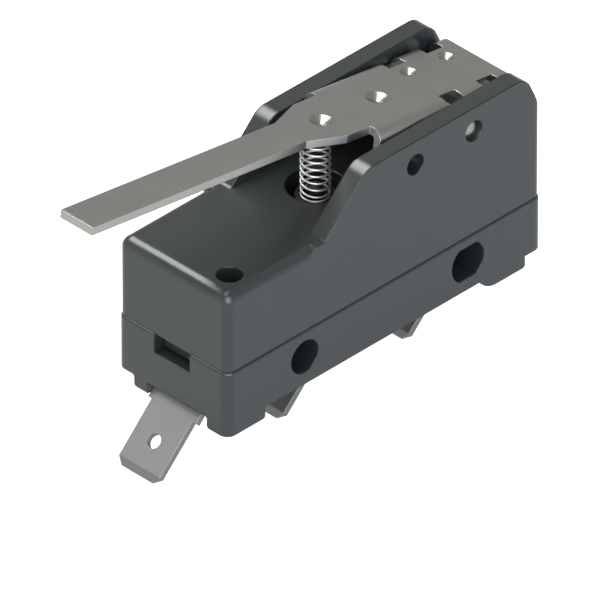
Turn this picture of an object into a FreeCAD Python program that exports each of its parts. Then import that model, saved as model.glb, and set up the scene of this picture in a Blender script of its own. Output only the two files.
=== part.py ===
import FreeCAD, Part
import math
import os

# A snap-action micro switch with a long spring-loaded lever. The origin is on the axis of the round
# mounting hole, midway between the two side faces. X runs along the housing from the common terminal
# to the lever's pivot, Y across it, and Z up. Every length is in millimetres.

V = FreeCAD.Vector

# Housing
HOUSING_WIDTH = 17.2
FRONT_MARGIN = 11.95          # round mounting hole's axis to the front end
REAR_MARGIN = 11.75           # slotted mounting hole's axis to the back end
BASE_DROP = 3.7               # mounting axis down to the underside
PARTING_RISE = 3.3            # mounting axis up to the joint of base and cover
COVER_HEIGHT = 10.3           # joint up to the top of the cover
CHEEK_HEIGHT = 6.5            # top of the cover up to the top of the cheeks
WALL = 2.0
FLOOR_WALL = 1.7
ROOF_WALL = 2.0
CORNER_RADIUS = 1.2
COVER_INSET = 0.15            # the cover is this much smaller than the base all round
COVER_EDGE_RADIUS = 1.25      # long rounding along the top edges of the cover
BASE_RIM_RADIUS = 0.3
SEAT_GAP = 0.05               # room between a part and the slot or socket that it is pushed into

# Mounting holes
HOLE_SPACING = 25.4
HOLE_DIAMETER = 4.2
SLOT_LENGTH = 5.0
BOSS_WALL = 1.1

# Feet on the base, and the windows in its ends that the cover's latch tongues snap into
FOOT_HEIGHT = 1.45
FOOT_WIDTH = 3.2
FRONT_FOOT_LENGTH = 5.85
REAR_FOOT_INSET = 2.75        # rear end of the rear feet, from the back end
REAR_FOOT_LENGTH = 7.1
FOOT_NOSE_RUN = 0.96          # the front end of a rear foot leans over this run
FOOT_NOSE_FILL = 0.98         # share of the leaning end that its rounding takes up
FOOT_CORNER_RADIUS = 0.35
FOOT_NOTCH = 2.7              # corner cut out of the front foot on the far side
WINDOW_WIDTH = 5.5
WINDOW_HEIGHT = 2.5
TONGUE_RECESS = 1.45          # latch tongue behind the end face of the base
TONGUE_END_GAP = 0.2          # under the latch tongue

# Cheeks that carry the lever
CHEEK_WALL = 2.35
SLOPE_FOOT_X = 3.3            # where the 45 degree slope meets the top of the cover
SLOPE_TOP_RADIUS = 2.5
SLOPE_FOOT_RADIUS = 0.6
BACK_SLOPE_DROP = 5.25        # height of the leaning part of the back
BACK_SLOPE_RUN = 2.42
CHEEK_BACK_RADIUS = 2.2
RUNOUT_LENGTH = 1.3           # the rounded edge dies out over this length before the slope

# Pivot
PIVOT_FROM_BACK = 10.75
PIVOT_DROP = 3.05             # top of the cheeks down to the pivot
PIN_DIAMETER = 2.5
PIN_RECESS = 0.5              # pin ends this far inside the side faces
PIN_DOME_HEIGHT = 0.4
PIVOT_CLEARANCE = 0.05        # radial, between the lever and the pin
PIN_SOCKET_CLEARANCE = 0.05   # radial, between the pin and the cheeks
SPARE_PIVOT_OFFSET = 9.1      # second pair of pivot holes, nearer the front

# Blind hole in the top of the cover
BLIND_HOLE_X = -8.4
BLIND_HOLE_Y = -5.43
BLIND_HOLE_DIAMETER = 3.0
BLIND_HOLE_DEPTH = 3.4
BLIND_HOLE_WALL = 0.9         # round and below the hole, inside the cavity

# Lever, drawn flat with the pivot at its origin, then tipped up
LEVER_TILT = 8.2              # degrees, free position
LEVER_TOP = 2.63              # pivot axis up to the top of the web
SHEET = 1.0
ARM_WIDTH = 4.9
ARM_REACH = 53.7              # pivot to the tip
NECK_START = 20.55            # pivot to where the arm starts to widen
NECK_END = 15.85
NECK_INSET = 0.3              # neck's edge inside the start of the fold
NECK_CORNER_RADIUS = 0.22     # where the neck meets the front of the flanges
CHANNEL_START = 12.3          # pivot to the front of the folded flanges
LEVER_SIDE_CLEARANCE = 0.2    # flange to the cheek beside it
CHANNEL_TAIL = 8.9            # pivot to the back edge
FLANGE_DEPTH = 3.6
EAR_RADIUS = 2.65
FOLD_RADIUS = 0.4             # inside the folds
NOTCH_WIDTH = 2.55            # cut across the folds, above the pin and behind it
NOTCH_INSET = 2.15
PIN_NOTCH_DEPTH = 1.15
BACK_NOTCH_DEPTH = 2.2
BACK_NOTCH_OFFSET = 5.93      # pivot to the middle of the notch behind it
SMALL_DIMPLE_Y = 2.1
SMALL_DIMPLE_DIAMETER = 1.9
SMALL_DIMPLE_DEPTH = 0.5
SMALL_DIMPLE_FLOOR = 0.5      # diameter of its flat floor
DIMPLE_SETBACK = 0.46         # dimple that centres the spring, behind the plunger's axis
DIMPLE_SPACING = 8.8          # to the dimple for the spare pivot position
DIMPLE_DIAMETER = 2.6
DIMPLE_DEPTH = 0.7
DIMPLE_FLOOR = 0.6
BUMP_DIAMETER = 1.3           # of the bump that each deep dimple makes below the web
BUMP_HEIGHT = 0.25

# Plunger and the spring between it and the lever
PLUNGER_X = 10.25
POCKET_BORE = 6.7
POCKET_BORE_DEPTH = 2.75
GUIDE_BOSS_DIAMETER = 9.2     # hangs from the roof of the cavity, below the pocket
PLUNGER_DIAMETER = 2.4
GUIDE_BORE_CLEARANCE = 0.05   # radial
GUIDE_WALL = 0.8
GUIDE_FLANGE_WALL = 0.7
GUIDE_FLANGE_HEIGHT = 0.5
PLUNGER_COLLAR_DIAMETER = 4.0
PLUNGER_COLLAR_HEIGHT = 0.9
PLUNGER_FOOT_LENGTH = 0.8     # foot's end up to the collar
PLUNGER_STOP_GAP = 0.1        # collar to the underside of the guide
PLUNGER_CHAMFER = 0.35        # round its top end
PLUNGER_TRAVEL = 0.6
PLUNGER_TIP_GAP = 0.05        # plunger to the contact blade
PLUNGER_NOSE_DIAMETER = 1.9   # the thin top end, inside the spring
PLUNGER_NOSE_RISE = 0.2       # plunger's top end above the cover
SEAT_DIAMETER = 4.6
SEAT_THICKNESS = 0.6
SEAT_DROP = 1.45              # top of the cover down to the spring's lower end
SEAT_RIM_GAP = 0.1            # radial, between the spring and the seat's rim
SPRING_DIAMETER = 3.57        # outside
WIRE_DIAMETER = 0.32
SPRING_TURNS = 9
SPRING_END_GAP = 0.06
CHORDS_PER_TURN = 12          # the coil is a run of short straight wires
WIRE_SIDES = 5

# Blade terminals for 6.3 mm push-on connectors
TAB_WIDTH = 6.3
TAB_THICKNESS = 0.8
TAB_SHOULDER_WIDTH = 7.4
TAB_LENGTH = 8.0              # shoulder to tip, along the blade
SHOULDER_LENGTH = 2.95        # fold to shoulder, along the blade
TAB_BEND_RADIUS = 0.6
TAB_HOLE_DIAMETER = 1.8
TAB_HOLE_FROM_TIP = 4.1
TAB_CORNER = 0.82
TAB_BEVEL_LENGTH = 0.9
TAB_BEVEL_DEPTH = 0.24
COMMON_FOLD_Z = -3.4          # where each upright's front face meets its blade
OPEN_FOLD_X = 9.28
OPEN_FOLD_Z = -4.32
CLOSED_FOLD_Z = -3.4
CLOSED_TERMINAL_GAP = 0.2     # second boss to the closed terminal's upright

# Contact mechanism inside the housing
STRIP_WIDTH = 5.0
STRIP_CLEARANCE = 0.4         # between the bosses and the strips over them
COMMON_STRIP_END = 6.2
BLADE_THICKNESS = 0.3
BLADE_WIDTH = 4.6
BLADE_START = -3.45           # the knife edge that the blade turns on
BLADE_OVERHANG = 2.0          # blade's end beyond the middle of its contact
BLADE_WINDOW_START = 3.4
BLADE_WINDOW_END = 8.1
BLADE_WINDOW_WIDTH = 2.6
CONTACT_SETBACK = 4.5         # contacts' middle in front of the closed terminal's upright
CONTACT_DIAMETER = 3.0
OPEN_CONTACT_HEIGHT = 0.645
CLOSED_CONTACT_HEIGHT = 0.5
CONTACT_FACE = 0.5            # thickness of the moving contact on each side of the blade
CONTACT_GAP = 0.09            # left at the end of the travel
CONTACT_SHANK_DIAMETER = 1.4
BRACKET_THICKNESS = 0.7
BRACKET_WIDTH = 4.0
NOTCH_DEPTH = 0.35
NOTCH_HEIGHT = 0.6
LUG_HEIGHT = 1.9
LUG_BACK_X = 4.75             # face that the snap spring bears against
BRACKET_RIVET_X = 0.4
BRACKET_RIVET_DIAMETER = 1.6
RIVET_HEAD_DIAMETER = 2.6
RIVET_HEAD_HEIGHT = 0.5
SNAP_THICKNESS = 0.22
SNAP_WIDTH = 2.0
SNAP_RISE = 1.25
SNAP_GAP = 0.12

# Places worked out from the driving dimensions
HALF_WIDTH = HOUSING_WIDTH / 2
FRONT_X = -FRONT_MARGIN
BACK_X = HOLE_SPACING + REAR_MARGIN
UNDERSIDE_Z = -BASE_DROP
FOOT_Z = UNDERSIDE_Z - FOOT_HEIGHT
COVER_TOP_Z = PARTING_RISE + COVER_HEIGHT
CHEEK_TOP_Z = COVER_TOP_Z + CHEEK_HEIGHT
ROOF_Z = COVER_TOP_Z - ROOF_WALL
INNER_HALF_GAP = HALF_WIDTH - COVER_INSET - CHEEK_WALL
CAVITY_FRONT_X = FRONT_X + WALL
CAVITY_BACK_X = BACK_X - WALL
CAVITY_HALF_WIDTH = HALF_WIDTH - WALL
POCKET_FLOOR_Z = COVER_TOP_Z - POCKET_BORE_DEPTH
SEAT_SHOULDER = COVER_TOP_Z - SEAT_DROP
PLUNGER_TOP = COVER_TOP_Z + PLUNGER_NOSE_RISE
PIVOT_X = BACK_X - PIVOT_FROM_BACK
PIVOT_Z = CHEEK_TOP_Z - PIVOT_DROP
CHANNEL_HALF = INNER_HALF_GAP - LEVER_SIDE_CLEARANCE
WEB_HALF = CHANNEL_HALF - FOLD_RADIUS - SHEET
COMMON_FOLD_X = CAVITY_FRONT_X + SEAT_GAP
CLOSED_FOLD_X = HOLE_SPACING + HOLE_DIAMETER / 2 + BOSS_WALL + CLOSED_TERMINAL_GAP
CONTACT_X = CLOSED_FOLD_X - CONTACT_SETBACK
BLADE_END = CONTACT_X + BLADE_OVERHANG
CONTACT_TRAVEL = PLUNGER_TRAVEL * (CONTACT_X - BLADE_START) / (PLUNGER_X - BLADE_START)
STRIP_TOP = HOLE_DIAMETER / 2 + BOSS_WALL + STRIP_CLEARANCE + TAB_THICKNESS
BLADE_BOTTOM_Z = STRIP_TOP + OPEN_CONTACT_HEIGHT + CONTACT_GAP + CONTACT_TRAVEL + CONTACT_FACE
BLADE_Z = BLADE_BOTTOM_Z + BLADE_THICKNESS / 2
BLADE_TOP_Z = BLADE_BOTTOM_Z + BLADE_THICKNESS
COLLAR_LOW_Z = BLADE_TOP_Z + PLUNGER_TIP_GAP + PLUNGER_FOOT_LENGTH
GUIDE_LOW_Z = COLLAR_LOW_Z + PLUNGER_COLLAR_HEIGHT + PLUNGER_STOP_GAP + GUIDE_FLANGE_HEIGHT


def box(x_range, y_range, z_range):
    """A block between two corners."""
    size = [high - low for low, high in (x_range, y_range, z_range)]
    return Part.makeBox(*size, V(x_range[0], y_range[0], z_range[0]))


def along_y(diameter, x, z, y_range):
    """A round bar across the housing."""
    return Part.makeCylinder(diameter / 2, y_range[1] - y_range[0], V(x, y_range[0], z), V(0, 1, 0))


def upright(diameter, x, y, z_range):
    """A round bar standing up."""
    return Part.makeCylinder(diameter / 2, z_range[1] - z_range[0], V(x, y, z_range[0]))


def outline(corners, place):
    """A closed face through corners (a, b, radius), its corners rounded, in the plane that place gives."""
    points = [V(a, b, 0) for a, b, _ in corners]
    count = len(points)
    starts, ends, arcs = [], [], []
    for i, (_, _, radius) in enumerate(corners):
        corner = points[i]
        back = (points[i - 1] - corner).normalize()
        ahead = (points[(i + 1) % count] - corner).normalize()
        half_angle = back.getAngle(ahead) / 2
        if radius <= 0:
            starts.append(corner)
            ends.append(corner)
            arcs.append(None)
            continue
        reach = radius / math.tan(half_angle)
        middle = (back + ahead).normalize() * (radius / math.sin(half_angle) - radius)
        starts.append(corner + back * reach)
        ends.append(corner + ahead * reach)
        arcs.append(corner + middle)
    edges = []
    for i in range(count):
        if arcs[i] is not None:
            edges.append(Part.Arc(place(starts[i]), place(arcs[i]), place(ends[i])).toShape())
        following = starts[(i + 1) % count]
        if (following - ends[i]).Length > 1e-6:
            edges.append(Part.LineSegment(place(ends[i]), place(following)).toShape())
    return Part.Face(Part.Wire(edges))


def side_shape(corners, y_range):
    """A side view outline, pushed across the housing."""
    face = outline(corners, lambda p: V(p.x, y_range[0], p.y))
    return face.extrude(V(0, y_range[1] - y_range[0], 0))


def plan_shape(corners, z_range):
    """A plan view outline, pushed upwards."""
    face = outline(corners, lambda p: V(p.x, p.y, z_range[0]))
    return face.extrude(V(0, 0, z_range[1] - z_range[0]))


def end_shape(corners, x_range):
    """An end view outline, pushed along the housing."""
    face = outline(corners, lambda p: V(x_range[0], p.x, p.y))
    return face.extrude(V(x_range[1] - x_range[0], 0, 0))


def folded_strip(path, thickness, bend_radius, width):
    """Sheet metal that follows path in the side view. The path runs along the sheet's left face."""
    points = [V(x, z, 0) for x, z in path]
    directions = [(b - a).normalize() for a, b in zip(points, points[1:])]
    normals = [V(d.y, -d.x, 0) for d in directions]
    near, far = [(points[0].x, points[0].y, 0)], []
    first = points[0] + normals[0] * thickness
    far.append((first.x, first.y, 0))
    for i in range(1, len(points) - 1):
        turn = directions[i - 1].x * directions[i].y - directions[i - 1].y * directions[i].x
        half = directions[i - 1].getAngle(directions[i]) / 2
        across = (normals[i - 1] + normals[i]).normalize() * (thickness / math.cos(half))
        outer = points[i] + across
        inside, outside = bend_radius, bend_radius + thickness
        near.append((points[i].x, points[i].y, inside if turn > 0 else outside))
        far.append((outer.x, outer.y, outside if turn > 0 else inside))
    last = points[-1] + normals[-1] * thickness
    near.append((points[-1].x, points[-1].y, 0))
    far.append((last.x, last.y, 0))
    return side_shape(near + far[::-1], (-width / 2, width / 2))


def rounded_block(inset, z_range):
    """The housing's plan, with rounded upright corners."""
    low, high = FRONT_X + inset, BACK_X - inset
    half = HALF_WIDTH - inset
    radius = CORNER_RADIUS - inset
    corners = [(low, -half, radius), (high, -half, radius), (high, half, radius), (low, half, radius)]
    return plan_shape(corners, z_range)


def edges_at(shape, test):
    """The straight and round edges whose middle passes the test."""
    return [e for e in shape.Edges if test(e.CenterOfMass)]


def terminal_slot(fold_x, fold_z):
    """The opening in the floor that a terminal leaves by."""
    lean = max(0.0, fold_z - UNDERSIDE_Z)
    left = fold_x - lean - SEAT_GAP
    right = fold_x + TAB_THICKNESS + TAB_BEND_RADIUS * 0.5 + SEAT_GAP
    half = TAB_SHOULDER_WIDTH / 2 + SEAT_GAP
    return box((left, right), (-half, half), (UNDERSIDE_Z - 1, UNDERSIDE_Z + FLOOR_WALL + 1))


def mounting_holes():
    """The round hole, and the one with flats that lets the spacing vary."""
    reach = (-HALF_WIDTH - 1, HALF_WIDTH + 1)
    round_hole = along_y(HOLE_DIAMETER, 0, 0, reach)
    wide_hole = along_y(SLOT_LENGTH, HOLE_SPACING, 0, reach)
    flats = box((HOLE_SPACING - SLOT_LENGTH, HOLE_SPACING + SLOT_LENGTH), reach,
                (-HOLE_DIAMETER / 2, HOLE_DIAMETER / 2))
    return round_hole.fuse(wide_hole.common(flats))


def feet():
    """The four feet under the base. One front foot has a notched corner."""
    inner = HALF_WIDTH - FOOT_WIDTH
    top = UNDERSIDE_Z + FLOOR_WALL / 2
    radius = FOOT_CORNER_RADIUS
    front_end = FRONT_X + FRONT_FOOT_LENGTH
    front = [(FRONT_X, top, 0), (front_end, top, 0), (front_end, FOOT_Z, radius), (FRONT_X, FOOT_Z, 0)]
    rear_end = BACK_X - REAR_FOOT_INSET
    rear_start = rear_end - REAR_FOOT_LENGTH
    nose_angle = math.pi - math.atan2(FOOT_HEIGHT, FOOT_NOSE_RUN)
    nose_radius = FOOT_NOSE_FILL * math.hypot(FOOT_HEIGHT, FOOT_NOSE_RUN) * math.tan(nose_angle / 2)
    rear = [(rear_start, UNDERSIDE_Z, 0), (rear_start, top, 0), (rear_end, top, 0),
            (rear_end, FOOT_Z, radius), (rear_start + FOOT_NOSE_RUN, FOOT_Z, nose_radius)]
    root = inner - 2 * radius
    solids = []
    for profile, side in ((front, -1), (rear, -1), (rear, 1)):
        end_view = [(side * HALF_WIDTH, top, 0), (side * HALF_WIDTH, FOOT_Z, 0),
                    (side * inner, FOOT_Z, radius), (side * inner, UNDERSIDE_Z, radius),
                    (side * root, UNDERSIDE_Z, 0), (side * root, top, 0)]
        foot = side_shape(profile, (-HALF_WIDTH, HALF_WIDTH))
        solids.append(foot.common(end_shape(end_view, (FRONT_X, BACK_X))))
    shelf = TAB_SHOULDER_WIDTH / 2 + SEAT_GAP
    notch_y = HALF_WIDTH - FOOT_NOTCH
    mouth = notch_y - 2 * radius
    notch = end_shape([(mouth, FOOT_Z - 1, 0), (mouth, FOOT_Z, 0), (notch_y, FOOT_Z, radius),
                       (notch_y, UNDERSIDE_Z, radius), (HALF_WIDTH + 1, UNDERSIDE_Z, 0),
                       (HALF_WIDTH + 1, FOOT_Z - 1, 0)], (FRONT_X - 1, FRONT_X + FOOT_NOTCH))
    solids.append(side_shape(front, (shelf, HALF_WIDTH)).cut(notch))
    whole = solids[0].multiFuse(solids[1:])
    return whole.common(rounded_block(0, (FOOT_Z - 1, PARTING_RISE)))


def base_housing():
    """The lower half of the case: mounting holes, feet, terminal slots and the lower half of the cavity."""
    block = rounded_block(0, (UNDERSIDE_Z, PARTING_RISE))
    rim = edges_at(block, lambda c: abs(c.z - PARTING_RISE) < 1e-6)
    block = block.makeFillet(BASE_RIM_RADIUS, rim)
    cavity = box((CAVITY_FRONT_X, CAVITY_BACK_X), (-CAVITY_HALF_WIDTH, CAVITY_HALF_WIDTH),
                 (UNDERSIDE_Z + FLOOR_WALL, PARTING_RISE + 1))
    reach = (-HALF_WIDTH, HALF_WIDTH)
    bosses = [along_y(HOLE_DIAMETER + 2 * BOSS_WALL, 0, 0, reach),
              along_y(HOLE_DIAMETER + 2 * BOSS_WALL, HOLE_SPACING, 0, reach)]
    lid_level = box((FRONT_X, BACK_X), reach, (PARTING_RISE, PARTING_RISE + 2))
    bosses = [b.cut(lid_level) for b in bosses]
    cavity = cavity.cut(bosses[0]).cut(bosses[1])
    shape = block.cut(cavity).fuse(feet())
    half = WINDOW_WIDTH / 2
    heights = (PARTING_RISE - WINDOW_HEIGHT, PARTING_RISE + 1)
    windows = [box((FRONT_X - 1, CAVITY_FRONT_X + SEAT_GAP), (-half, half), heights),
               box((CAVITY_BACK_X - SEAT_GAP, BACK_X + 1), (-half, half), heights)]
    slots = [terminal_slot(COMMON_FOLD_X, COMMON_FOLD_Z), terminal_slot(OPEN_FOLD_X, OPEN_FOLD_Z),
             terminal_slot(CLOSED_FOLD_X, CLOSED_FOLD_Z)]
    for tool in windows + slots + [mounting_holes()]:
        shape = shape.cut(tool)
    return shape.removeSplitter()


def cheek_profile():
    """The side view of the cheeks, from the foot of the slope round to the back."""
    back = BACK_X - COVER_INSET
    edge_foot = COVER_TOP_Z - COVER_EDGE_RADIUS
    return [
        (SLOPE_FOOT_X - RUNOUT_LENGTH - COVER_EDGE_RADIUS, edge_foot, 0),
        (SLOPE_FOOT_X - RUNOUT_LENGTH, COVER_TOP_Z, 0),
        (SLOPE_FOOT_X, COVER_TOP_Z, SLOPE_FOOT_RADIUS),
        (SLOPE_FOOT_X + CHEEK_HEIGHT, CHEEK_TOP_Z, SLOPE_TOP_RADIUS),
        (back - BACK_SLOPE_RUN, CHEEK_TOP_Z, CHEEK_BACK_RADIUS),
        (back, CHEEK_TOP_Z - BACK_SLOPE_DROP, 0),
        (back, PARTING_RISE, 0),
        (SLOPE_FOOT_X, PARTING_RISE, 0),
    ]


def cheeks():
    """The two walls that hold the lever's pin, with the channel between them."""
    reach = HALF_WIDTH - COVER_INSET
    walls = side_shape(cheek_profile(), (-reach, reach))
    walls = walls.common(rounded_block(COVER_INSET, (PARTING_RISE, CHEEK_TOP_Z + 1)))
    channel = box((FRONT_X, BACK_X + 1), (-INNER_HALF_GAP, INNER_HALF_GAP),
                  (COVER_TOP_Z, CHEEK_TOP_Z + 1))
    return walls.cut(channel)


def latch_tongues():
    """The two tongues under the cover that snap into the windows in the ends of the base."""
    half = WINDOW_WIDTH / 2 - SEAT_GAP
    heights = (PARTING_RISE - WINDOW_HEIGHT + TONGUE_END_GAP, PARTING_RISE + 1)
    front = (FRONT_X + TONGUE_RECESS, CAVITY_FRONT_X - SEAT_GAP)
    back = (CAVITY_BACK_X + SEAT_GAP, BACK_X - TONGUE_RECESS)
    return [box(front, (-half, half), heights), box(back, (-half, half), heights)]


def cover_housing():
    """The upper half of the case, with the cheeks, the plunger pocket and the upper half of the cavity."""
    block = rounded_block(COVER_INSET, (PARTING_RISE, COVER_TOP_Z))
    top = edges_at(block, lambda c: abs(c.z - COVER_TOP_Z) < 1e-6)
    block = block.makeFillet(COVER_EDGE_RADIUS, top)
    shape = block.multiFuse([cheeks()] + latch_tongues())
    cavity = box((CAVITY_FRONT_X, CAVITY_BACK_X), (-CAVITY_HALF_WIDTH, CAVITY_HALF_WIDTH),
                 (PARTING_RISE - 1, ROOF_Z))
    guide_boss = upright(GUIDE_BOSS_DIAMETER, PLUNGER_X, 0, (GUIDE_LOW_Z, ROOF_Z + 1))
    hole_boss = upright(BLIND_HOLE_DIAMETER + 2 * BLIND_HOLE_WALL, BLIND_HOLE_X, BLIND_HOLE_Y,
                        (COVER_TOP_Z - BLIND_HOLE_DEPTH - BLIND_HOLE_WALL, ROOF_Z + 1))
    cavity = cavity.cut(guide_boss).cut(hole_boss)
    pocket = upright(POCKET_BORE, PLUNGER_X, 0, (POCKET_FLOOR_Z, CHEEK_TOP_Z))
    guide_hole = upright(PLUNGER_DIAMETER + 2 * (GUIDE_BORE_CLEARANCE + GUIDE_WALL), PLUNGER_X, 0,
                         (GUIDE_LOW_Z - 1, COVER_TOP_Z))
    blind_hole = upright(BLIND_HOLE_DIAMETER, BLIND_HOLE_X, BLIND_HOLE_Y,
                         (COVER_TOP_Z - BLIND_HOLE_DEPTH, COVER_TOP_Z + 1))
    across = (-HALF_WIDTH - 1, HALF_WIDTH + 1)
    pin_holes = [along_y(PIN_DIAMETER + 2 * PIN_SOCKET_CLEARANCE, x, PIVOT_Z, across)
                 for x in (PIVOT_X, PIVOT_X - SPARE_PIVOT_OFFSET)]
    for tool in [cavity, pocket, guide_hole, blind_hole] + pin_holes:
        shape = shape.cut(tool)
    return shape.removeSplitter()


def pivot_pin():
    """The steel pin that the lever turns on, with domed ends."""
    reach, radius = HALF_WIDTH - PIN_RECESS, PIN_DIAMETER / 2
    shoulder = reach - PIN_DOME_HEIGHT
    dome_radius = (radius ** 2 + PIN_DOME_HEIGHT ** 2) / (2 * PIN_DOME_HEIGHT)
    bulge = radius / 2
    bulge_reach = reach - dome_radius + math.sqrt(dome_radius ** 2 - bulge ** 2)
    near, far = V(0, -reach, 0), V(0, reach, 0)
    edges = [Part.LineSegment(near, far), Part.Arc(far, V(bulge, bulge_reach, 0), V(radius, shoulder, 0)),
             Part.LineSegment(V(radius, shoulder, 0), V(radius, -shoulder, 0)),
             Part.Arc(V(radius, -shoulder, 0), V(bulge, -bulge_reach, 0), near)]
    face = Part.Face(Part.Wire([edge.toShape() for edge in edges]))
    pin = face.revolve(V(0, 0, 0), V(0, 1, 0), 360)
    pin.translate(V(PIVOT_X, 0, PIVOT_Z))
    return pin


def tip_up(shape):
    """Moves a piece of the flat lever to its place on the pivot."""
    moved = shape.copy()
    moved.rotate(V(0, 0, 0), V(0, 1, 0), LEVER_TILT)
    moved.translate(V(PIVOT_X, 0, PIVOT_Z))
    return moved


def lever_blank():
    """Plan view of the lever's flat top, before the flanges."""
    arm, neck = ARM_WIDTH / 2, WEB_HALF - NECK_INSET
    upper = [(-ARM_REACH, arm, 0), (-NECK_START, arm, 0), (-NECK_END, neck, 0),
             (-CHANNEL_START, neck, NECK_CORNER_RADIUS), (-CHANNEL_START, WEB_HALF, 0),
             (CHANNEL_TAIL, WEB_HALF, 0)]
    lower = [(x, -y, r) for x, y, r in reversed(upper)]
    return plan_shape(lower + upper, (LEVER_TOP - SHEET, LEVER_TOP))


def lever_flanges():
    """The two folded sides with their ears, trimmed to the side view."""
    half = CHANNEL_HALF
    outer, inner = FOLD_RADIUS + SHEET, FOLD_RADIUS
    low = -EAR_RADIUS - 1
    wall = half - SHEET
    section = [(-half, low, 0), (-half, LEVER_TOP, outer), (half, LEVER_TOP, outer), (half, low, 0),
               (wall, low, 0), (wall, LEVER_TOP - SHEET, inner), (-wall, LEVER_TOP - SHEET, inner),
               (-wall, low, 0)]
    face = outline(section, lambda p: V(-CHANNEL_START, p.x, p.y))
    channel = face.extrude(V(CHANNEL_START + CHANNEL_TAIL, 0, 0))
    across = (-half - 1, half + 1)
    edge = LEVER_TOP - FLANGE_DEPTH
    corner = FLANGE_DEPTH * 0.3
    side = side_shape([(-CHANNEL_START, LEVER_TOP + 1, 0), (CHANNEL_TAIL, LEVER_TOP + 1, 0),
                       (CHANNEL_TAIL, edge, corner), (-CHANNEL_START, edge, corner)], across)
    ear_top = box((-EAR_RADIUS, EAR_RADIUS), across, (0, LEVER_TOP + 1))
    ear = along_y(2 * EAR_RADIUS, 0, 0, across).fuse(ear_top)
    return channel.common(side.fuse(ear))


def dimple(x, y, mouth, floor, depth):
    """The cone that a dimple's punch leaves in the web."""
    lead = SHEET / 2
    widening = (mouth - floor) / 2 / depth * lead
    return Part.makeCone(floor / 2, mouth / 2 + widening, depth + lead, V(x, y, LEVER_TOP - depth))


def dimple_bump(x):
    """The flat-topped bump that a deep dimple makes under the web."""
    flank = BUMP_HEIGHT / 2
    return Part.makeCone(BUMP_DIAMETER / 2 - flank, BUMP_DIAMETER / 2 + flank, 2 * BUMP_HEIGHT,
                         V(x, 0, LEVER_TOP - SHEET - BUMP_HEIGHT))


def lever():
    """The stamped lever: a long flat arm, and a channel that straddles the pin."""
    shape = lever_blank().fuse(lever_flanges())
    half = CHANNEL_HALF
    shape = shape.cut(along_y(PIN_DIAMETER + 2 * PIVOT_CLEARANCE, 0, 0, (-half - 1, half + 1)))
    for x, depth in ((0, PIN_NOTCH_DEPTH), (BACK_NOTCH_OFFSET, BACK_NOTCH_DEPTH)):
        for side in (-1, 1):
            across = sorted((side * (half - NOTCH_INSET), side * (half + 1)))
            notch = box((x - NOTCH_WIDTH / 2, x + NOTCH_WIDTH / 2), across,
                        (LEVER_TOP - depth, LEVER_TOP + 1))
            shape = shape.cut(notch)
    front = -(PIVOT_X - PLUNGER_X - DIMPLE_SETBACK) / math.cos(math.radians(LEVER_TILT))
    for x in (front, front + DIMPLE_SPACING):
        shape = shape.fuse(dimple_bump(x)).cut(dimple(x, 0, DIMPLE_DIAMETER, DIMPLE_FLOOR, DIMPLE_DEPTH))
    for x in (0, BACK_NOTCH_OFFSET):
        shape = shape.cut(dimple(x, SMALL_DIMPLE_Y, SMALL_DIMPLE_DIAMETER, SMALL_DIMPLE_FLOOR,
                                 SMALL_DIMPLE_DEPTH))
    return tip_up(shape.removeSplitter())


def plunger_guide():
    """The flanged bush in the boss under the pocket, that the plunger slides in."""
    bore = PLUNGER_DIAMETER + 2 * GUIDE_BORE_CLEARANCE
    outside = bore + 2 * GUIDE_WALL
    tube = upright(outside, PLUNGER_X, 0, (GUIDE_LOW_Z, POCKET_FLOOR_Z))
    flange = upright(outside + 2 * GUIDE_FLANGE_WALL, PLUNGER_X, 0,
                     (GUIDE_LOW_Z - GUIDE_FLANGE_HEIGHT, GUIDE_LOW_Z))
    hole = upright(bore, PLUNGER_X, 0, (GUIDE_LOW_Z - 1, COVER_TOP_Z))
    return tube.fuse(flange).cut(hole).removeSplitter()


def plunger():
    """The push rod: foot on the contact blade, stop collar, and a thin nose inside the spring."""
    foot = BLADE_TOP_Z + PLUNGER_TIP_GAP
    seat_low = SEAT_SHOULDER - SEAT_THICKNESS
    rod = upright(PLUNGER_DIAMETER, PLUNGER_X, 0, (foot, seat_low))
    nose = upright(PLUNGER_NOSE_DIAMETER, PLUNGER_X, 0, (seat_low, PLUNGER_TOP))
    top = edges_at(nose, lambda c: abs(c.z - PLUNGER_TOP) < 1e-6)
    nose = nose.makeChamfer(PLUNGER_CHAMFER, top)
    collar = upright(PLUNGER_COLLAR_DIAMETER, PLUNGER_X, 0,
                     (COLLAR_LOW_Z, COLLAR_LOW_Z + PLUNGER_COLLAR_HEIGHT))
    return rod.fuse(nose).fuse(collar).removeSplitter()


def spring_seat():
    """The washer with a raised rim that carries the spring on the plunger."""
    low = SEAT_SHOULDER - SEAT_THICKNESS
    disc = upright(SEAT_DIAMETER, PLUNGER_X, 0, (low, SEAT_SHOULDER + WIRE_DIAMETER))
    recess = upright(SPRING_DIAMETER + 2 * SEAT_RIM_GAP, PLUNGER_X, 0,
                     (SEAT_SHOULDER, SEAT_SHOULDER + 1))
    return disc.cut(recess).cut(upright(PLUNGER_NOSE_DIAMETER, PLUNGER_X, 0, (low - 1, SEAT_SHOULDER + 1)))


def spring_top():
    """Height of the web's underside above the middle of the spring, less the lean across its width."""
    tilt = math.radians(LEVER_TILT)
    under = LEVER_TOP - SHEET
    run = PLUNGER_X + SPRING_DIAMETER / 2 - PIVOT_X
    return PIVOT_Z + under / math.cos(tilt) - run * math.tan(tilt)


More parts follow.
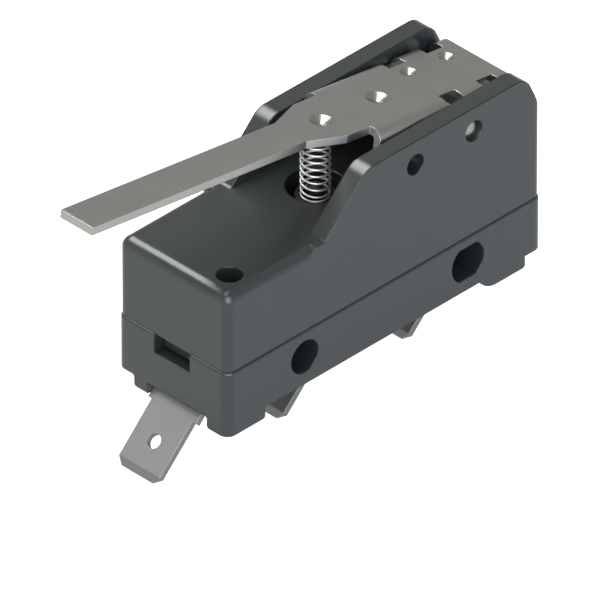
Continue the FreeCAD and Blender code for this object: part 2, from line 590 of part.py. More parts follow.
def lever_spring():
    """The left-handed coil spring between the plunger's seat and the lever."""
    radius = (SPRING_DIAMETER - WIRE_DIAMETER) / 2
    low = SEAT_SHOULDER + WIRE_DIAMETER / 2 + SPRING_END_GAP
    high = spring_top() - WIRE_DIAMETER / 2 - SPRING_END_GAP
    chords = SPRING_TURNS * CHORDS_PER_TURN
    points = []
    for chord in range(chords + 1):
        angle = -2 * math.pi * chord / CHORDS_PER_TURN
        points.append(V(PLUNGER_X + radius * math.cos(angle), radius * math.sin(angle),
                        low + (high - low) * chord / chords))
    path = Part.makePolygon(points)
    along = points[1] - points[0]
    across = along.cross(V(0, 0, 1)).normalize() * (WIRE_DIAMETER / 2)
    corners = []
    for corner in range(WIRE_SIDES + 1):
        turn = FreeCAD.Rotation(along, 360 * corner / WIRE_SIDES)
        corners.append(points[0] + turn.multVec(across))
    mitred = 1
    return path.makePipeShell([Part.makePolygon(corners)], True, True, mitred)


def blade_terminal(fold_x, fold_z, inner_path):
    """A terminal: inner_path inside the housing, then the push-on blade that leans out at 45 degrees."""
    reach = SHOULDER_LENGTH + TAB_LENGTH
    step = math.sqrt(0.5)
    tip = (fold_x - reach * step, fold_z - reach * step)
    path = [tip, (fold_x, fold_z)] + inner_path
    sheet = folded_strip(path, TAB_THICKNESS, TAB_BEND_RADIUS, TAB_SHOULDER_WIDTH)
    turn = FreeCAD.Placement(V(fold_x, 0, fold_z), FreeCAD.Rotation(V(0, 1, 0), -45))
    half, shoulder = TAB_WIDTH / 2, TAB_SHOULDER_WIDTH / 2 + 1
    end = -reach
    blade = [(end, -half + TAB_CORNER, 0), (end + TAB_CORNER, -half, 0), (-SHOULDER_LENGTH, -half, 0),
             (-SHOULDER_LENGTH, half, 0), (end + TAB_CORNER, half, 0), (end, half - TAB_CORNER, 0)]
    allowed = plan_shape(blade, (-2 * TAB_THICKNESS, TAB_THICKNESS))
    region = box((end - 1, -SHOULDER_LENGTH), (-shoulder, shoulder), (-2 * TAB_THICKNESS, TAB_THICKNESS))
    waste = region.cut(allowed)
    waste = waste.fuse(upright(TAB_HOLE_DIAMETER, end + TAB_HOLE_FROM_TIP, 0,
                               (-2 * TAB_THICKNESS, TAB_THICKNESS)))
    for face, bevel in ((0, -TAB_BEVEL_DEPTH), (-TAB_THICKNESS, TAB_BEVEL_DEPTH - TAB_THICKNESS)):
        away = 1 if face == 0 else -1
        wedge = side_shape([(end - 1, face + away, 0), (end - 1, bevel, 0), (end, bevel, 0),
                            (end + TAB_BEVEL_LENGTH, face, 0), (end + TAB_BEVEL_LENGTH, face + away, 0)],
                           (-shoulder, shoulder))
        waste = waste.fuse(wedge)
    waste.Placement = turn
    return sheet.cut(waste)


def narrowed(shape, width, low):
    """Trims what lies above low to a narrower strip."""
    half = TAB_SHOULDER_WIDTH / 2 + 1
    for side in (-1, 1):
        across = sorted((side * width / 2, side * half))
        shape = shape.cut(box((FRONT_X, BACK_X), across, (low, ROOF_Z)))
    return shape


def common_terminal():
    """The common terminal, whose inner strip runs back over the first mounting boss."""
    inner = [(COMMON_FOLD_X, STRIP_TOP), (COMMON_STRIP_END, STRIP_TOP)]
    shape = blade_terminal(COMMON_FOLD_X, COMMON_FOLD_Z, inner)
    shape = narrowed(shape, STRIP_WIDTH, STRIP_TOP - TAB_THICKNESS - TAB_BEND_RADIUS)
    hole = upright(BRACKET_RIVET_DIAMETER, BRACKET_RIVET_X, 0, (STRIP_TOP - 2, STRIP_TOP + 1))
    return shape.cut(hole).removeSplitter()


def open_terminal():
    """The normally open terminal, whose strip carries the lower contact over the second boss."""
    end = CONTACT_X + CONTACT_DIAMETER / 2
    inner = [(OPEN_FOLD_X, STRIP_TOP), (end, STRIP_TOP)]
    shape = blade_terminal(OPEN_FOLD_X, OPEN_FOLD_Z, inner)
    shape = narrowed(shape, STRIP_WIDTH, STRIP_TOP - TAB_THICKNESS - TAB_BEND_RADIUS)
    return shape.removeSplitter()


def closed_strip_low():
    """Underside of the strip that carries the upper contact."""
    return BLADE_TOP_Z + CONTACT_FACE + SEAT_GAP + CLOSED_CONTACT_HEIGHT


def closed_terminal():
    """The normally closed terminal, folded forward over the end of the contact blade."""
    low = closed_strip_low()
    inner = [(CLOSED_FOLD_X, low), (CONTACT_X - CONTACT_DIAMETER / 2, low)]
    shape = blade_terminal(CLOSED_FOLD_X, CLOSED_FOLD_Z, inner)
    shape = narrowed(shape, STRIP_WIDTH, STRIP_TOP - TAB_THICKNESS - TAB_BEND_RADIUS)
    return shape.removeSplitter()


def anchor_bracket():
    """The bracket on the common strip: a notched post for the blade's edge, and a lug for the snap spring."""
    low, high = STRIP_TOP, STRIP_TOP + BRACKET_THICKNESS
    groove = BLADE_THICKNESS + 2 * SEAT_GAP
    post_back = BLADE_START + NOTCH_DEPTH
    post_front = BLADE_START - groove / 2 - BRACKET_THICKNESS
    post_top = BLADE_Z + NOTCH_HEIGHT + NOTCH_DEPTH
    lug_front = LUG_BACK_X - BRACKET_THICKNESS
    lug_top = high + LUG_HEIGHT
    profile = [(post_front, low, 0), (LUG_BACK_X, low, 0), (LUG_BACK_X, lug_top, 0),
               (lug_front, lug_top, 0), (lug_front, high, 0), (post_back, high, 0),
               (post_back, post_top, 0), (post_front, post_top, 0)]
    half = BRACKET_WIDTH / 2
    beyond = half + 1
    shape = side_shape(profile, (-half, half))
    mouth = side_shape([(BLADE_START - groove / 2, BLADE_Z, 0),
                        (post_back + 1, BLADE_Z - NOTCH_HEIGHT, 0),
                        (post_back + 1, BLADE_Z + NOTCH_HEIGHT, 0)], (-beyond, beyond))
    round_end = along_y(groove, BLADE_START, BLADE_Z, (-beyond, beyond))
    lug_sides = [box((lug_front - 1, LUG_BACK_X + 1), sorted((s * SNAP_WIDTH / 2, s * beyond)),
                     (high, lug_top + 1)) for s in (-1, 1)]
    hole = upright(BRACKET_RIVET_DIAMETER, BRACKET_RIVET_X, 0, (low - 1, high + 1))
    for tool in [mouth, round_end, hole] + lug_sides:
        shape = shape.cut(tool)
    return shape.removeSplitter()


def anchor_rivet():
    """The rivet that holds the bracket on the common strip."""
    low, high = STRIP_TOP - TAB_THICKNESS, STRIP_TOP + BRACKET_THICKNESS
    shank = upright(BRACKET_RIVET_DIAMETER, BRACKET_RIVET_X, 0, (low, high))
    head = upright(RIVET_HEAD_DIAMETER, BRACKET_RIVET_X, 0, (high, high + RIVET_HEAD_HEIGHT))
    return shank.fuse(head).removeSplitter()


def contact_blade():
    """The springy blade that carries the moving contact, with a window for the snap spring."""
    half, window = BLADE_WIDTH / 2, BLADE_WINDOW_WIDTH / 2
    post = BRACKET_WIDTH / 2
    blade = plan_shape([(BLADE_START, -post, 0), (BLADE_WINDOW_START - 2, -half, 0), (BLADE_END, -half, 1),
                        (BLADE_END, half, 1), (BLADE_WINDOW_START - 2, half, 0), (BLADE_START, post, 0)],
                       (BLADE_BOTTOM_Z, BLADE_TOP_Z))
    blade = blade.fuse(along_y(BLADE_THICKNESS, BLADE_START, BLADE_Z, (-post, post)))
    gap = box((BLADE_WINDOW_START, BLADE_WINDOW_END), (-window, window), (BLADE_Z - 1, BLADE_Z + 1))
    hole = upright(CONTACT_SHANK_DIAMETER, CONTACT_X, 0, (BLADE_Z - 1, BLADE_Z + 1))
    return blade.cut(gap).cut(hole).removeSplitter()


def moving_contact():
    """The double-faced silver contact at the end of the blade."""
    shank = upright(CONTACT_SHANK_DIAMETER, CONTACT_X, 0, (BLADE_BOTTOM_Z, BLADE_TOP_Z))
    lower = upright(CONTACT_DIAMETER, CONTACT_X, 0, (BLADE_BOTTOM_Z - CONTACT_FACE, BLADE_BOTTOM_Z))
    upper = upright(CONTACT_DIAMETER, CONTACT_X, 0, (BLADE_TOP_Z, BLADE_TOP_Z + CONTACT_FACE))
    return shank.fuse(lower).fuse(upper).removeSplitter()


def open_contact():
    """The contact welded on the normally open strip, reached at the end of the blade's travel."""
    return upright(CONTACT_DIAMETER, CONTACT_X, 0, (STRIP_TOP, STRIP_TOP + OPEN_CONTACT_HEIGHT))


def closed_contact():
    """The contact welded under the normally closed strip, touched at rest."""
    low = closed_strip_low()
    return upright(CONTACT_DIAMETER, CONTACT_X, 0, (low - CLOSED_CONTACT_HEIGHT, low))


def snap_spring():
    """The bowed leaf spring in the blade's window, which flips the blade past its dead centre."""
    left, right = LUG_BACK_X + SNAP_GAP, BLADE_WINDOW_END
    middle = (left + right) / 2
    side = -SNAP_WIDTH / 2
    crest = BLADE_Z + SNAP_RISE
    outer = Part.Arc(V(left, side, BLADE_Z), V(middle, side, crest), V(right, side, BLADE_Z))
    inner = Part.Arc(V(right - SNAP_THICKNESS, side, BLADE_Z), V(middle, side, crest - SNAP_THICKNESS),
                     V(left + SNAP_THICKNESS, side, BLADE_Z))
    right_end = Part.LineSegment(V(right, side, BLADE_Z), V(right - SNAP_THICKNESS, side, BLADE_Z))
    left_end = Part.LineSegment(V(left + SNAP_THICKNESS, side, BLADE_Z), V(left, side, BLADE_Z))
    wire = Part.Wire([edge.toShape() for edge in (outer, right_end, inner, left_end)])
    return Part.Face(wire).extrude(V(0, SNAP_WIDTH, 0))


PIECES = {
    "base_housing": base_housing,
    "cover_housing": cover_housing,
    "pivot_pin": pivot_pin,
    "plunger_guide": plunger_guide,
    "common_terminal": common_terminal,
    "open_terminal": open_terminal,
    "closed_terminal": closed_terminal,
    "open_contact": open_contact,
    "closed_contact": closed_contact,
    "anchor_bracket": anchor_bracket,
    "anchor_rivet": anchor_rivet,
    "lever": lever,
    "plunger": plunger,
    "spring_seat": spring_seat,
    "lever_spring": lever_spring,
    "contact_blade": contact_blade,
    "moving_contact": moving_contact,
    "snap_spring": snap_spring,
}

os.makedirs("parts", exist_ok=True)
for name, make in PIECES.items():
    piece = make()
    piece.exportStep("parts/" + name + ".step")
    bounds = piece.BoundBox
    print(name, "solids", len(piece.Solids), "valid", piece.isValid(), "volume %.2f" % piece.Volume,
          "x %.2f %.2f y %.2f %.2f z %.2f %.2f" % (bounds.XMin, bounds.XMax, bounds.YMin, bounds.YMax,
                                                  bounds.ZMin, bounds.ZMax))
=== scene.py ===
import math

import bpy
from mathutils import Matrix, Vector


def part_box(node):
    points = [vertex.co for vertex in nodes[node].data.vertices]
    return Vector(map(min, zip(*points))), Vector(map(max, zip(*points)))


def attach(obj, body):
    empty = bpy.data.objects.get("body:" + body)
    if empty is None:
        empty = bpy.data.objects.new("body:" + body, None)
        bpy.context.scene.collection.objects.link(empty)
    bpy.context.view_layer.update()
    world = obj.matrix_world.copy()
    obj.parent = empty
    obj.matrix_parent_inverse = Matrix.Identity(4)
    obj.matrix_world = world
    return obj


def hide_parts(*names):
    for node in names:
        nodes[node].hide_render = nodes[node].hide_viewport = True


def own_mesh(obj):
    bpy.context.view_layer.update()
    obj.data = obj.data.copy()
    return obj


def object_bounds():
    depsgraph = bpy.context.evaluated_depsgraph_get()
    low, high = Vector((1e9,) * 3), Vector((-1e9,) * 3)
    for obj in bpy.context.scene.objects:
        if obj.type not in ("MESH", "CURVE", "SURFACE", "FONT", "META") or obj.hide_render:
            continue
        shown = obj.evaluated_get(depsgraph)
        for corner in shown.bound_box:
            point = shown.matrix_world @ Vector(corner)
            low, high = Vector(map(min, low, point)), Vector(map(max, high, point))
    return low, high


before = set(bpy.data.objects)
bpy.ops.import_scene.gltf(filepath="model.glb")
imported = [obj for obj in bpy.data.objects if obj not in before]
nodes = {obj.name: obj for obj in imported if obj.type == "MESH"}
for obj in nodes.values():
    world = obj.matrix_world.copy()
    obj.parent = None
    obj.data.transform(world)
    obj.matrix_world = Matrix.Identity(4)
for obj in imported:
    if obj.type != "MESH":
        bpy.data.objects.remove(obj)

MM = 0.001
cad_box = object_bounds()
collection = bpy.context.scene.collection


# The camera looks down at the front left corner, equally steeply along all three axes, through a lens
# so long that parallel edges stay parallel.
LENS = 1600.0
SENSOR = 36.0
VIEW_WIDTH = 65.94 * MM
VIEW_MIDDLE = Vector((7.874, 0.0, -0.634)) * MM
towards_camera = Vector((-1, -1, 1)).normalized()
camera_data = bpy.data.cameras.new("camera")
camera_data.lens = LENS
camera_data.sensor_width = SENSOR
camera_data.clip_start = 0.1
camera_data.clip_end = 20.0
camera = bpy.data.objects.new("camera", camera_data)
camera.location = VIEW_MIDDLE + towards_camera * (VIEW_WIDTH * LENS / SENSOR)
camera.rotation_mode = "QUATERNION"
camera.rotation_quaternion = (-towards_camera).to_track_quat("-Z", "Y")
collection.objects.link(camera)
bpy.context.scene.camera = camera
bpy.context.scene.view_settings.view_transform = "Standard"


# A plain white floor just under the lowest terminal, wide enough to fill the background. It glows for
# the camera as paper on a light table does, and half as strongly for the switch above it.
FLOOR_SIZE = 4.0
FLOOR_GAP = 0.1 * MM
FLOOR_TONE = 0.45
FLOOR_ROUGHNESS = 0.9
FLOOR_GLOW = 0.5         # as the switch sees it; the camera sees 1
floor_mesh = bpy.data.meshes.new("floor")
half = FLOOR_SIZE / 2
floor_z = cad_box[0].z - FLOOR_GAP
floor_mesh.from_pydata([(-half, -half, floor_z), (half, -half, floor_z), (half, half, floor_z),
                        (-half, half, floor_z)], [], [(0, 1, 2, 3)])
floor = bpy.data.objects.new("floor", floor_mesh)
collection.objects.link(floor)
floor_paper = bpy.data.materials.new("floor_paper")
floor_paper.use_nodes = True
shader = floor_paper.node_tree.nodes["Principled BSDF"]
shader.inputs["Base Color"].default_value = (FLOOR_TONE, FLOOR_TONE, FLOOR_TONE, 1)
shader.inputs["Roughness"].default_value = FLOOR_ROUGHNESS
shader.inputs["Emission Color"].default_value = (1, 1, 1, 1)
seen = floor_paper.node_tree.nodes.new("ShaderNodeLightPath")
glow = floor_paper.node_tree.nodes.new("ShaderNodeMapRange")
glow.inputs["To Min"].default_value = FLOOR_GLOW
floor_paper.node_tree.links.new(seen.outputs["Is Camera Ray"], glow.inputs["Value"])
floor_paper.node_tree.links.new(glow.outputs["Result"], shader.inputs["Emission Strength"])
floor_mesh.materials.append(floor_paper)


# Soft studio light in a pale room, darker at the back right, where the lever's top mirrors it. A strip
# lamp and a corner lamp show only as gloss on edges and metal. A ceiling lamp lights the tops, and a
# cool lamp just above the floor lights the near side. To the camera the room is white.
ROOM_BRIGHT = 0.72
ROOM_DARK = 0.37
DARK_SIDE = Vector((0.75, 0.4, 0.45)).normalized()
FADE_START = -0.5        # the room's tone changes between these two cosines with the dark side
FADE_END = 0.8
LAMP_DISTANCE = 2.0
WHITE = (1.0, 1.0, 1.0)
GREENISH = (0.96, 1.0, 0.95)
COOL = (0.5, 0.9, 1.6)
world = bpy.data.worlds.new("studio")
bpy.context.scene.world = world
world.use_nodes = True
tree = world.node_tree
background = tree.nodes["Background"]
direction = tree.nodes.new("ShaderNodeTexCoord")
facing = tree.nodes.new("ShaderNodeVectorMath")
facing.operation = "DOT_PRODUCT"
facing.inputs[1].default_value = DARK_SIDE
fade = tree.nodes.new("ShaderNodeMapRange")
fade.interpolation_type = "SMOOTHSTEP"
fade.inputs["From Min"].default_value = FADE_START
fade.inputs["From Max"].default_value = FADE_END
fade.inputs["To Min"].default_value = ROOM_BRIGHT
fade.inputs["To Max"].default_value = ROOM_DARK
tree.links.new(direction.outputs["Generated"], facing.inputs[0])
tree.links.new(facing.outputs["Value"], fade.inputs["Value"])
sight = tree.nodes.new("ShaderNodeLightPath")
backdrop = tree.nodes.new("ShaderNodeMix")
backdrop.inputs["B"].default_value = 1.0
tree.links.new(sight.outputs["Is Camera Ray"], backdrop.inputs["Factor"])
tree.links.new(fade.outputs["Result"], backdrop.inputs["A"])
tree.links.new(backdrop.outputs["Result"], background.inputs["Strength"])
background.inputs["Color"].default_value = (1, 1, 0.99, 1)


def softbox(name, towards, width, height, power, colour):
    """A lamp with an oblong face that hangs in one direction from the switch and faces it."""
    lamp = bpy.data.lights.new(name, "AREA")
    lamp.shape = "RECTANGLE"
    lamp.size = width
    lamp.size_y = height
    lamp.energy = power
    lamp.color = colour
    holder = bpy.data.objects.new(name, lamp)
    holder.location = VIEW_MIDDLE + Vector(towards).normalized() * LAMP_DISTANCE
    holder.rotation_mode = "QUATERNION"
    holder.rotation_quaternion = Vector(towards).normalized().to_track_quat("Z", "Y")
    collection.objects.link(holder)
    return holder


strip_lamp = softbox("strip_lamp", (0.0, 0.59, 0.81), width=1.75, height=0.4, power=21.0, colour=GREENISH)
corner_lamp = softbox("corner_lamp", (-0.5, -0.7, 0.38), width=2.2, height=2.2, power=66.0, colour=WHITE)
for gloss_lamp in (strip_lamp, corner_lamp):
    gloss_lamp.visible_diffuse = False
softbox("ceiling_lamp", (-0.1, 0.3, 1.0), width=1.6, height=1.6, power=27.0, colour=GREENISH)
softbox("side_lamp", (-0.15, -0.94, 0.16), width=1.2, height=1.2, power=8.0, colour=COOL)


# The two halves of the housing are moulded in dark grey glass-filled plastic, so their skin is faintly
# speckled. The cover snaps over the base along the parting line, and its edges are slightly rounded.
GRAIN_DETAIL = 3.0
GRAIN_HARSHNESS = 0.7
CLOUDS_PER_MM = 0.12
CLOUD_DETAIL = 4.0
CLOUD_SHARE = 0.35       # how far the clouds move the tone, where a grain moves it by 1
NOISE_LOW = 0.3          # nearly all of a noise lies between these two
NOISE_HIGH = 0.7
BEVEL_SAMPLES = 6
SKIN_RELIEF = 0.05 * MM
EDGE_SHADE_TONE = 0.3          # share of the skin's colour left on an edge, darkened there as painted shade
EDGE_TURN = 0.9          # cosine of the rounded with the flat normal where the painted shade on an edge is darkest
SKIN_TURN = 0.995        # and where the skin has its full colour


def new_group(name, inputs, outputs):
    """A shader node group with the given sockets: name, socket type and default."""
    group = bpy.data.node_groups.new(name, "ShaderNodeTree")
    for label, kind, default in inputs:
        socket = group.interface.new_socket(label, in_out="INPUT", socket_type=kind)
        if default is not None:
            socket.default_value = default
    for label, kind in outputs:
        group.interface.new_socket(label, in_out="OUTPUT", socket_type=kind)
    return group, group.nodes.new("NodeGroupInput"), group.nodes.new("NodeGroupOutput")


def speckle_group():
    """Fine light and dark grains, with broad clouds under them, all measured in millimetres."""
    group, given, made = new_group(
        "speckle",
        [("Color", "NodeSocketColor", None), ("Grain per mm", "NodeSocketFloat", 4.0),
         ("Strength", "NodeSocketFloat", 0.2), ("Roughness", "NodeSocketFloat", 0.4)],
        [("Color", "NodeSocketColor"), ("Roughness", "NodeSocketFloat"), ("Height", "NodeSocketFloat")])
    add, link = group.nodes.new, group.links.new
    place = add("ShaderNodeTexCoord")
    scale = add("ShaderNodeMath")
    scale.operation = "MULTIPLY"
    scale.inputs[1].default_value = 1 / MM
    link(given.outputs["Grain per mm"], scale.inputs[0])
    grain = add("ShaderNodeTexNoise")
    grain.inputs["Detail"].default_value = GRAIN_DETAIL
    grain.inputs["Roughness"].default_value = GRAIN_HARSHNESS
    link(place.outputs["Object"], grain.inputs["Vector"])
    link(scale.outputs["Value"], grain.inputs["Scale"])
    clouds = add("ShaderNodeTexNoise")
    clouds.inputs["Scale"].default_value = CLOUDS_PER_MM / MM
    clouds.inputs["Detail"].default_value = CLOUD_DETAIL
    link(place.outputs["Object"], clouds.inputs["Vector"])
    both = add("ShaderNodeMath")
    both.operation = "ADD"
    for index, noise, reach in ((0, grain, 1.0), (1, clouds, CLOUD_SHARE)):
        level = add("ShaderNodeMapRange")
        level.inputs["From Min"].default_value = NOISE_LOW
        level.inputs["From Max"].default_value = NOISE_HIGH
        level.inputs["To Min"].default_value = -reach
        level.inputs["To Max"].default_value = reach
        link(noise.outputs["Fac"], level.inputs["Value"])
        link(level.outputs["Result"], both.inputs[index])
    gain = add("ShaderNodeMath")
    gain.operation = "MULTIPLY_ADD"
    gain.inputs[2].default_value = 1.0
    link(both.outputs["Value"], gain.inputs[0])
    link(given.outputs["Strength"], gain.inputs[1])
    tone = add("ShaderNodeVectorMath")
    tone.operation = "SCALE"
    link(given.outputs["Color"], tone.inputs[0])
    link(gain.outputs["Value"], tone.inputs["Scale"])
    rough = add("ShaderNodeMath")
    rough.operation = "MULTIPLY"
    rough.use_clamp = True
    link(given.outputs["Roughness"], rough.inputs[0])
    link(gain.outputs["Value"], rough.inputs[1])
    link(tone.outputs["Vector"], made.inputs["Color"])
    link(rough.outputs["Value"], made.inputs["Roughness"])
    link(grain.outputs["Fac"], made.inputs["Height"])
    return group


SPECKLE = speckle_group()


def rounded_skin(material, skin, edge, relief, depth):
    """Feeds the shader's Normal: rounded edges, with the skin's own height as a bump on them."""
    add, link = material.node_tree.nodes.new, material.node_tree.links.new
    corner = add("ShaderNodeBevel")
    corner.samples = BEVEL_SAMPLES
    corner.inputs["Radius"].default_value = edge
    bump = add("ShaderNodeBump")
    bump.inputs["Strength"].default_value = relief
    bump.inputs["Distance"].default_value = depth
    link(skin.outputs["Height"], bump.inputs["Height"])
    link(corner.outputs["Normal"], bump.inputs["Normal"])
    link(bump.outputs["Normal"], material.node_tree.nodes["Principled BSDF"].inputs["Normal"])
    return corner


def speckled_plastic(name, colour, grain, strength, roughness, relief, edge):
    """Moulded plastic with a grained skin and slightly rounded edges, with painted shade darkening the
    colour along them.
    """
    material = bpy.data.materials.new(name)
    material.use_nodes = True
    add, link = material.node_tree.nodes.new, material.node_tree.links.new
    shader = material.node_tree.nodes["Principled BSDF"]
    skin = add("ShaderNodeGroup")
    skin.node_tree = SPECKLE
    skin.inputs["Color"].default_value = (*colour, 1)
    skin.inputs["Grain per mm"].default_value = grain
    skin.inputs["Strength"].default_value = strength
    skin.inputs["Roughness"].default_value = roughness
    corner = rounded_skin(material, skin, edge, relief, SKIN_RELIEF)
    # Painted shade on edges: the base colour darkens where the rounded normal turns away from the flat
    # one, standing in for the dark lines that shade lays along edges.
    surface = add("ShaderNodeNewGeometry")
    agreement = add("ShaderNodeVectorMath")
    agreement.operation = "DOT_PRODUCT"
    link(corner.outputs["Normal"], agreement.inputs[0])
    link(surface.outputs["Normal"], agreement.inputs[1])
    body = add("ShaderNodeMapRange")
    body.inputs["From Min"].default_value = EDGE_TURN
    body.inputs["From Max"].default_value = SKIN_TURN
    body.inputs["To Min"].default_value = EDGE_SHADE_TONE
    link(agreement.outputs["Value"], body.inputs["Value"])
    edge_shaded = add("ShaderNodeVectorMath")
    edge_shaded.operation = "SCALE"
    link(skin.outputs["Color"], edge_shaded.inputs[0])
    link(body.outputs["Result"], edge_shaded.inputs["Scale"])
    link(edge_shaded.outputs["Vector"], shader.inputs["Base Color"])
    link(skin.outputs["Roughness"], shader.inputs["Roughness"])
    return material


def finish_node(name, material):
    """Gives a carried-over solid its material in every slot."""
    mesh = nodes[name].data
    if not mesh.materials:
        mesh.materials.append(material)
    for index in range(len(mesh.materials)):
        mesh.materials[index] = material


housing_skin = speckled_plastic("housing_plastic", (0.041, 0.047, 0.0465), grain=4.5, strength=0.05,
                                roughness=0.25, relief=0.05, edge=0.28 * MM)
finish_node("base_housing", housing_skin)
finish_node("cover_housing", housing_skin)


# The lever is stamped from stainless strip and folded into a channel that straddles the pin. It keeps
# the strip's faint rolling grain along its length, and the punch has burnished its four dimples.
ALONG_X = (0.35, 9.0, 9.0)       # streaks per mm along each axis
STREAK_DETAIL = 4.0
TONES_PER_MM = 0.25
STREAK_RELIEF = 0.02 * MM
PIVOT = Vector((26.4, 0.0, 17.05)) * MM
LEVER_TILT = math.radians(8.2)
LEVER_TOP = 2.63                 # height of the web's top over the pin's axis, in mm
BURNISHED = 0.24                 # roughness in a dimple
BURNISH_FADE = 0.1               # width of the change at its rim, in mm
# Each dimple's place along and across the web from the pin, and its radius, in mm.
DIMPLES = ((-15.85, 0.0, 1.5), (-7.05, 0.0, 1.5), (0.0, 2.1, 1.1), (5.93, 2.1, 1.1))


def metal_group():
    """Rolled or drawn metal: fine streaks along one axis and a slow change of tone."""
    group, given, made = new_group(
        "rolled_metal",
        [("Color", "NodeSocketColor", None), ("Streaks per mm", "NodeSocketVector", (0.3, 8.0, 8.0)),
         ("Strength", "NodeSocketFloat", 0.1), ("Roughness", "NodeSocketFloat", 0.3)],
        [("Color", "NodeSocketColor"), ("Roughness", "NodeSocketFloat"), ("Height", "NodeSocketFloat")])
    add, link = group.nodes.new, group.links.new
    place = add("ShaderNodeTexCoord")
    per_metre = add("ShaderNodeVectorMath")
    per_metre.operation = "SCALE"
    per_metre.inputs["Scale"].default_value = 1 / MM
    link(given.outputs["Streaks per mm"], per_metre.inputs[0])
    stretch = add("ShaderNodeVectorMath")
    stretch.operation = "MULTIPLY"
    link(place.outputs["Object"], stretch.inputs[0])
    link(per_metre.outputs["Vector"], stretch.inputs[1])
    streaks = add("ShaderNodeTexNoise")
    streaks.inputs["Scale"].default_value = 1.0
    streaks.inputs["Detail"].default_value = STREAK_DETAIL
    link(stretch.outputs["Vector"], streaks.inputs["Vector"])
    clouds = add("ShaderNodeTexNoise")
    clouds.inputs["Scale"].default_value = TONES_PER_MM / MM
    link(place.outputs["Object"], clouds.inputs["Vector"])
    both = add("ShaderNodeMath")
    both.operation = "ADD"
    link(streaks.outputs["Fac"], both.inputs[0])
    link(clouds.outputs["Fac"], both.inputs[1])
    centred = add("ShaderNodeMath")
    centred.operation = "SUBTRACT"
    centred.inputs[1].default_value = 1.0
    link(both.outputs["Value"], centred.inputs[0])
    gain = add("ShaderNodeMath")
    gain.operation = "MULTIPLY_ADD"
    gain.inputs[2].default_value = 1.0
    link(centred.outputs["Value"], gain.inputs[0])
    link(given.outputs["Strength"], gain.inputs[1])
    tone = add("ShaderNodeVectorMath")
    tone.operation = "SCALE"
    link(given.outputs["Color"], tone.inputs[0])
    link(gain.outputs["Value"], tone.inputs["Scale"])
    rough = add("ShaderNodeMath")
    rough.operation = "MULTIPLY"
    rough.use_clamp = True
    link(given.outputs["Roughness"], rough.inputs[0])
    link(gain.outputs["Value"], rough.inputs[1])
    link(tone.outputs["Vector"], made.inputs["Color"])
    link(rough.outputs["Value"], made.inputs["Roughness"])
    link(streaks.outputs["Fac"], made.inputs["Height"])
    return group


ROLLED_METAL = metal_group()


def metal(name, colour, streaks, strength, roughness, relief, edge):
    """A metal finish with its streaks, and edges that are slightly broken."""
    material = bpy.data.materials.new(name)
    material.use_nodes = True
    add, link = material.node_tree.nodes.new, material.node_tree.links.new
    shader = material.node_tree.nodes["Principled BSDF"]
    shader.inputs["Metallic"].default_value = 1.0
    skin = add("ShaderNodeGroup")
    skin.node_tree = ROLLED_METAL
    skin.inputs["Color"].default_value = (*colour, 1)
    skin.inputs["Streaks per mm"].default_value = streaks
    skin.inputs["Strength"].default_value = strength
    skin.inputs["Roughness"].default_value = roughness
    rounded_skin(material, skin, edge, relief, STREAK_RELIEF)
    link(skin.outputs["Color"], shader.inputs["Base Color"])
    link(skin.outputs["Roughness"], shader.inputs["Roughness"])
    return material


lever_steel = metal("lever_steel", (0.42, 0.425, 0.4), streaks=ALONG_X, strength=0.1, roughness=0.32,
                    relief=0.2, edge=0.1 * MM)
tree = lever_steel.node_tree
place = tree.nodes.new("ShaderNodeTexCoord")
shader = tree.nodes["Principled BSDF"]
rough = shader.inputs["Roughness"].links[0].from_socket
for along, across, radius in DIMPLES:
    centre = Vector((along * math.cos(LEVER_TILT) + LEVER_TOP * math.sin(LEVER_TILT), across,
                     LEVER_TOP * math.cos(LEVER_TILT) - along * math.sin(LEVER_TILT))) * MM + PIVOT
    gap = tree.nodes.new("ShaderNodeVectorMath")
    gap.operation = "DISTANCE"
    gap.inputs[1].default_value = centre
    tree.links.new(place.outputs["Object"], gap.inputs[0])
    worn = tree.nodes.new("ShaderNodeMapRange")
    worn.inputs["From Min"].default_value = (radius - BURNISH_FADE) * MM
    worn.inputs["From Max"].default_value = radius * MM
    worn.inputs["To Min"].default_value = BURNISHED
    tree.links.new(gap.outputs["Value"], worn.inputs["Value"])
    least = tree.nodes.new("ShaderNodeMath")
    least.operation = "MINIMUM"
    tree.links.new(rough, least.inputs[0])
    tree.links.new(worn.outputs["Result"], least.inputs[1])
    rough = least.outputs["Value"]
tree.links.new(rough, shader.inputs["Roughness"])
finish_node("lever", lever_steel)


# The pin is a turned steel rod, pushed through the folded sides of the lever and held in the cheeks.
# Only its domed ends show, half a millimetre inside the side faces.
ALONG_Y = (9.0, 0.5, 9.0)
pin_steel = metal("pin_steel", (0.36, 0.36, 0.35), streaks=ALONG_Y, strength=0.1, roughness=0.35,
                  relief=0.1, edge=0.3 * MM)
finish_node("pivot_pin", pin_steel)


# The spring is wound left-handed from thin drawn wire. It stands on the plunger's seat and bears on the
# underside of the lever, round the bump of the front dimple.
SPRING_AXIS = Vector((10.25, 0.0, 0.0)) * MM
WIRE_RADIUS = 0.14 * MM
COIL_RADIUS = 1.63 * MM
SPRING_TURNS = 10.4
END_TURNS = 0.9          # close-wound turns at each end
STEPS_PER_TURN = 28
WIRE_SMOOTHNESS = 4
SPRING_TOP = 20.72 * MM
TOP_LEAN = 0.07          # slope of the top turn, which lies against the tilted lever
seat_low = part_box("lever_spring")[0]
spring_low = seat_low.z + WIRE_RADIUS
closed_pitch = 2.15 * WIRE_RADIUS        # a little over the wire's thickness, so closed turns stay clear


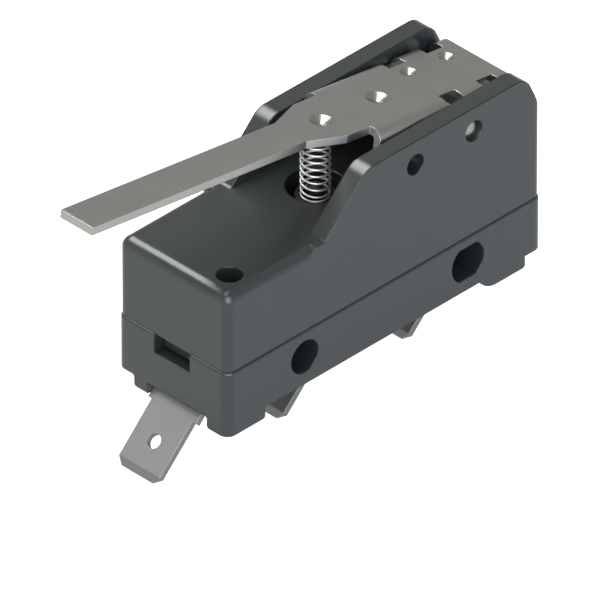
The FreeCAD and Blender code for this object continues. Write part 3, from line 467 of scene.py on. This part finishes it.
def spring_height(turn):
    """Height of the wire's middle: close wound at both ends, evenly spaced between them."""
    span = SPRING_TOP - spring_low - 2 * END_TURNS * closed_pitch
    open_turns = SPRING_TURNS - 2 * END_TURNS
    if turn < END_TURNS:
        return spring_low + turn * closed_pitch
    if turn > SPRING_TURNS - END_TURNS:
        return SPRING_TOP - (SPRING_TURNS - turn) * closed_pitch
    return spring_low + END_TURNS * closed_pitch + span * (turn - END_TURNS) / open_turns


wire_curve = bpy.data.curves.new("lever_spring_wire", "CURVE")
wire_curve.dimensions = "3D"
wire_curve.bevel_depth = WIRE_RADIUS
wire_curve.bevel_resolution = WIRE_SMOOTHNESS
wire_curve.use_fill_caps = True
wire = wire_curve.splines.new("POLY")
steps = int(SPRING_TURNS * STEPS_PER_TURN)
wire.points.add(steps)
for step in range(steps + 1):
    turn = step / STEPS_PER_TURN
    angle = -2 * math.pi * turn
    height = spring_height(turn)
    x = COIL_RADIUS * math.cos(angle)
    lean = TOP_LEAN * x * (height - spring_low) / (SPRING_TOP - spring_low)
    wire.points[step].co = (SPRING_AXIS.x + x, COIL_RADIUS * math.sin(angle), height - lean, 1)
wire_maker = bpy.data.objects.new("wire_maker", wire_curve)
collection.objects.link(wire_maker)
bpy.context.view_layer.update()
depsgraph = bpy.context.evaluated_depsgraph_get()
wire_mesh = bpy.data.meshes.new_from_object(wire_maker.evaluated_get(depsgraph))
bpy.data.objects.remove(wire_maker)
coil = bpy.data.objects.new("wound_spring", wire_mesh)
collection.objects.link(coil)
for face in wire_mesh.polygons:
    face.use_smooth = True
spring_steel = metal("spring_steel", (0.66, 0.66, 0.64), streaks=(3.0, 3.0, 6.0), strength=0.1,
                     roughness=0.45, relief=0.1, edge=0.03 * MM)
wire_mesh.materials.clear()
wire_mesh.materials.append(spring_steel)
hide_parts("lever_spring")
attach(coil, "plunger")
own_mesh(coil)


# The plunger, its seat and the guide bush are small mouldings in black, self-lubricating plastic. The
# plunger slides in the bush, which stands in the cover's well, and carries the spring's seat.
black_plastic = speckled_plastic("plunger_plastic", (0.02, 0.02, 0.022), grain=4.0, strength=0.15,
                                 roughness=0.45, relief=0.2, edge=0.08 * MM)
for name in ("plunger", "spring_seat", "plunger_guide"):
    finish_node(name, black_plastic)


# The three terminals are blanked from tin-plated brass, with 6.3 mm blades that slant forward. The
# bracket and its rivet inside share their plating.
plated = metal("terminal_plate", (0.26, 0.265, 0.26), streaks=(3.0, 3.0, 3.0), strength=0.1,
               roughness=0.42, relief=0.25, edge=0.1 * MM)
for name in ("common_terminal", "open_terminal", "closed_terminal", "anchor_bracket", "anchor_rivet"):
    finish_node(name, plated)


# Inside, the contact blade and its snap spring are stamped from copper alloy strip. The contacts are
# silver: one at the end of the blade, and one on each of the two strips that it swings between.
copper = metal("blade_copper", (0.72, 0.43, 0.27), streaks=ALONG_X, strength=0.12, roughness=0.3,
               relief=0.15, edge=0.03 * MM)
silver = metal("contact_silver", (0.85, 0.84, 0.8), streaks=(4.0, 4.0, 4.0), strength=0.08,
               roughness=0.2, relief=0.1, edge=0.05 * MM)
for name in ("contact_blade", "snap_spring"):
    finish_node(name, copper)
for name in ("moving_contact", "open_contact", "closed_contact"):
    finish_node(name, silver)
